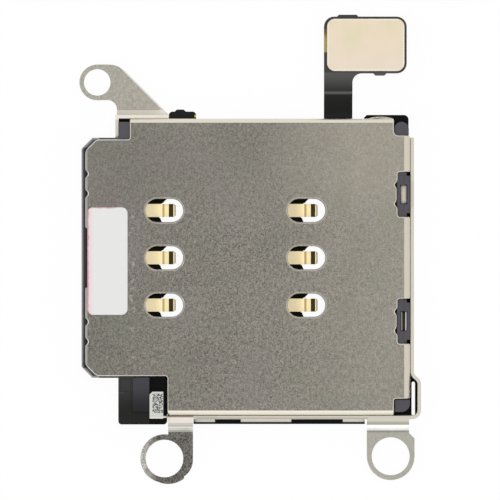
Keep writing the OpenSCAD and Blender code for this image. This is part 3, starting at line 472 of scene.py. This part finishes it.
# The guide block at the lower left: painted shade darkens it towards its end and on its lower step,
# and fills the recess beside it near black; a thin line crosses it
guide_right, guide_upper = -3.2, -6.2
guide = (plastic.x < guide_right) * (plastic.y < guide_upper)
end_shade = plastic.y.smooth(-8.3, -6.6)
guide_low = plastic.mix(end_shade, (0.019, 0.019, 0.018), (0.046, 0.048, 0.046))
guide_high = plastic.mix(end_shade, (0.022, 0.022, 0.025), (0.058, 0.058, 0.068))
guide_shading = plastic.mix(plastic.z.smooth(1.31, 1.38), guide_low, guide_high)
colour = plastic.mix(guide * up, colour, guide_shading)
colour = plastic.mix(guide * (plastic.x > -4.62), colour, (0.004, 0.004, 0.004))
thin_line = guide * (plastic.x < -5.95) * plastic.y.near(-7.24, 0.03)
colour = plastic.mix(thin_line, colour, (0.05, 0.056, 0.056))
# The rim of the mouth is painted a little paler on top, with a painted highlight along its outer edge
# and its chamfered corners
mouth_half, chamfer, diagonal = 6.44, 0.6, 0.707
beside = mouth_half - plastic.y.absolute()
before = plastic.x - body_low.x
from_chamfer = (before + beside - chamfer) * diagonal
from_edge = before.lower(beside).lower(from_chamfer)
colour = plastic.mix((plastic.x < -8.0) * up, colour, (0.062, 0.055, 0.068))
rim_highlight = (plastic.x < -7.3) * up * (1 - from_edge.smooth(0.03, 0.14))
colour = plastic.mix(rim_highlight, colour, (0.38, 0.37, 0.38))
# The floor seen through the notches beside the right windows is painted paler, as painted light
# against its shade
notch_floor_light = plastic.x.near(8.65, 0.45) * plastic.y.absolute().near(3.4, 0.75) * up * (plastic.z < 1.2)
colour = plastic.mix(notch_floor_light, colour, (0.2, 0.195, 0.18))
plastic.set("Base Color", colour)
plastic.uneven(grain, 0.2, 0.48)
plastic.bump(grain, 0.006)
body.data.materials.append(plastic.material)

# Contact springs
# Six strips of copper alloy, gold plated, blanked and bent to a crest with a turned-down tip.
# Each is moulded into the floor at its root and soldered to the circuit under it.

column_spacing = 7.62
left_column = -column_spacing / 2
# The gold glows a little as painted light, wherever it is used
gold = Finish("pale gold plate", Metallic=0.3, Emission_Strength=0.45)
polish = gold.noise(5.0, 2.0, stretch=(0.3, 3.0, 1.0))
# Distance along a spring from the middle of its contact, the same in both columns
along = gold.x - (gold.x > 0.0) * column_spacing - left_column
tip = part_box("contact_spring_1")[1][0] / MM
tip = tip - left_column if tip < 0 else tip + left_column
crease = along.near(-0.05, 0.055)
crest = along.between(-0.01, 0.24)
steep = (along > 0.2) * (1 - gold.facing_up.smooth(0.75, 0.95))
cut_end = along > tip - 0.06
colour = gold.mix(polish, (1.0, 0.82, 0.46), (1.0, 0.86, 0.54))
# Painted shade on each spring: the crest a little darker, the crease dark, the steep face near black
# and the cut end dark
colour = gold.mix(crest, colour, (0.72, 0.6, 0.31))
colour = gold.mix(crease * 0.8, colour, (0.25, 0.18, 0.07))
colour = gold.mix(steep * 0.95, colour, (0.014, 0.006, 0.001))
colour = gold.mix(cut_end, colour, (0.05, 0.035, 0.02))
gold.set("Base Color", colour)
# The strips glow as painted light in their own colour, brighter and paler under the lid, where the
# lid's shade falls
glow_under_lid = 1 - along.smooth(-1.2, -0.15)
root_glow = gold.mix(0.35, colour, (1.0, 0.97, 0.88))
gold.set("Emission Color", gold.mix(glow_under_lid, gold.scaled(colour, 0.84), root_glow))
gold.uneven(polish, 0.15, 0.24)
gold.bump(polish, 0.002)
for number in range(1, 7):
    spring = softened("contact_spring_%d" % number, 0.015)
    spring.data.materials.append(gold.material)

# Tray switch
# Two upright strips of the same alloy, tin plated, that meet when the tray is fully in.
# Both stand in the block of the lower right window: the thin leaf, and the fixed contact.

tinned = Finish("tinned strip", Metallic=1.0)
smear = tinned.noise(7.0, 2.0, stretch=(3.0, 0.6, 1.0))
to_contact = tinned.x.smooth(9.02, 9.06)
tinned.set("Base Color", tinned.mix(to_contact, (0.24, 0.24, 0.24), (0.46, 0.49, 0.46)))
tinned.uneven(smear, 0.3, 0.35)
tinned.bump(smear, 0.002)
for name in ("switch_leaf", "switch_contact"):
    strip = softened(name, 0.01)
    strip.data.materials.append(tinned.material)

# Ejector
# A steel push bar that slides beside the tray passage and turns a stamped lever behind it.
# The lever swings on a plain pin, and all three lie under the lid.

bare_steel = Finish("bare steel", Metallic=1.0)
brushed = bare_steel.noise(4.0, 2.0, stretch=(0.25, 4.0, 1.0))
bare_steel.set("Base Color", bare_steel.mix(brushed, (0.2, 0.2, 0.19), (0.34, 0.33, 0.31)))
bare_steel.uneven(brushed, 0.2, 0.32)
bare_steel.bump(brushed, 0.002)
for name in ("ejector_slider", "ejector_lever", "lever_pivot_pin"):
    part = softened(name, 0.02)
    part.data.materials.append(bare_steel.material)

# Flexible circuit
# Copper tracks between two films with a near-black cover, on which the springs are soldered.
# The neck leaves under the lid, climbs in one wave and widens to the connector pad.

circuit = softened("flex_circuit", 0.012)
film = Finish("black cover film", Metallic=0.0, Specular_IOR_Level=0.15)
ripple = film.noise(2.2, 2.0)
# Painted shade: the film is near black at the lid and low down, and paler as the neck climbs to the
# pad
neck_light = film.y.smooth(8.6, 10.2) * film.z.smooth(0.3, 0.5)
colour = film.mix(neck_light, (0.012, 0.012, 0.012), (0.1, 0.098, 0.096))
pad_face = (film.y > 9.95) * film.z.smooth(0.55, 0.62)
colour = film.mix(pad_face, colour, film.mix(ripple, (0.045, 0.045, 0.035), (0.06, 0.052, 0.055)))
# A painted glint on the wave of the neck
glint = (1 - (film.y - 8.86).absolute().smooth(0.0, 0.13)) * film.z.smooth(0.2, 0.3)
colour = film.mix(glint * 0.5, colour, (0.2, 0.2, 0.2))
# The amber edge of the film beside the pad, and a yellow spot on the test tab
amber = (film.x < 4.93) * film.y.near(11.65, 0.62) * pad_face
amber_tone = film.mix(film.y.smooth(11.7, 12.2), (0.36, 0.31, 0.1), (0.17, 0.07, 0.05))
colour = film.mix(amber, colour, amber_tone)
spot = film.x.between(-2.2, 0.0) * film.y.between(7.55, 7.68)
colour = film.mix(spot, colour, (0.8, 0.75, 0.05))
film.set("Base Color", colour)
film.uneven(ripple, 0.2, 0.38)
film.bump(ripple, 0.01)
circuit.data.materials.append(film.material)

# Stiffener plate
# A thin plate with a matt champagne finish and a painted highlight along its rounded border.
# It is bonded over the pad, opposite the connector.

plate = softened("connector_stiffener", 0.045, clamped=False)
plate_low, plate_high = corners_of("connector_stiffener")
champagne = Finish("champagne plate", Metallic=0.0)
haze = champagne.noise(0.8, 2.0)
down = 1 - champagne.y.smooth(9.9, 12.4)
colour = champagne.mix(haze.smooth(0.3, 0.7), (0.78, 0.69, 0.49), (0.85, 0.71, 0.54))
colour = champagne.mix(down * 0.5, colour, (0.83, 0.71, 0.63))
# Painted highlight: a pale band along the plate's rounded border
inset = (champagne.x - plate_low.x).lower(plate_high.x - champagne.x)
inset = inset.lower(champagne.y - plate_low.y).lower(plate_high.y - champagne.y)
colour = champagne.mix(inset.smooth(0.05, 0.12), (0.88, 0.82, 0.7), colour)
champagne.set("Base Color", colour)
champagne.uneven(haze, 0.2, 0.45)
champagne.bump(champagne.noise(14.0, 2.0), 0.003)
plate.data.materials.append(champagne.material)

# Board connector
# A moulded receptacle with two rows of gold-plated pins and a tinned anchor at each end.
# It is soldered under the pad and plugs into the board below.

housing = softened("connector_housing", 0.012)
ivory = Finish("ivory moulding", Metallic=0.0)
ivory.set("Base Color", ivory.mix(ivory.noise(2.0), (0.5, 0.47, 0.4), (0.58, 0.55, 0.48)))
ivory.uneven(ivory.noise(10.0), 0.2, 0.42)
housing.data.materials.append(ivory.material)
# The pins take the gold plate and its painted glow
for name in ("connector_pins_left", "connector_pins_right"):
    softened(name, 0.008).data.materials.append(gold.material)
for name in ("connector_anchor_lower", "connector_anchor_upper"):
    softened(name, 0.01).data.materials.append(bare_steel.material)

# Moisture label
# A small label of white paper, stuck on the lid beside the mouth.
# It turns pink from its edges where damp gets in.

label = softened("moisture_label", 0.02)
label_low, label_high = corners_of("moisture_label")
paper = Finish("white indicator paper", Metallic=0.0)
seep = paper.noise(3.0, 3.0) * 0.16
from_left = paper.x - label_low.x + seep - 0.08
from_top = label_high.y - paper.y + seep - 0.08
left_line = 1 - from_left.smooth(0.02, 0.12)
top_line = 1 - from_top.smooth(0.0, 0.1) - paper.x.smooth(-6.6, -6.0)
bloom = 1 - from_left.smooth(0.0, 0.4)
colour = paper.mix(bloom * 0.85, (0.8, 0.8, 0.79), (0.86, 0.63, 0.69))
colour = paper.mix(left_line.higher(top_line).clipped(), colour, (0.62, 0.3, 0.35))
paper.set("Base Color", colour)
paper.set("Roughness", paper.noise(8.0) * 0.2 + 0.55)
paper.bump(paper.noise(12.0, 3.0), 0.004)
label.data.materials.append(paper.material)
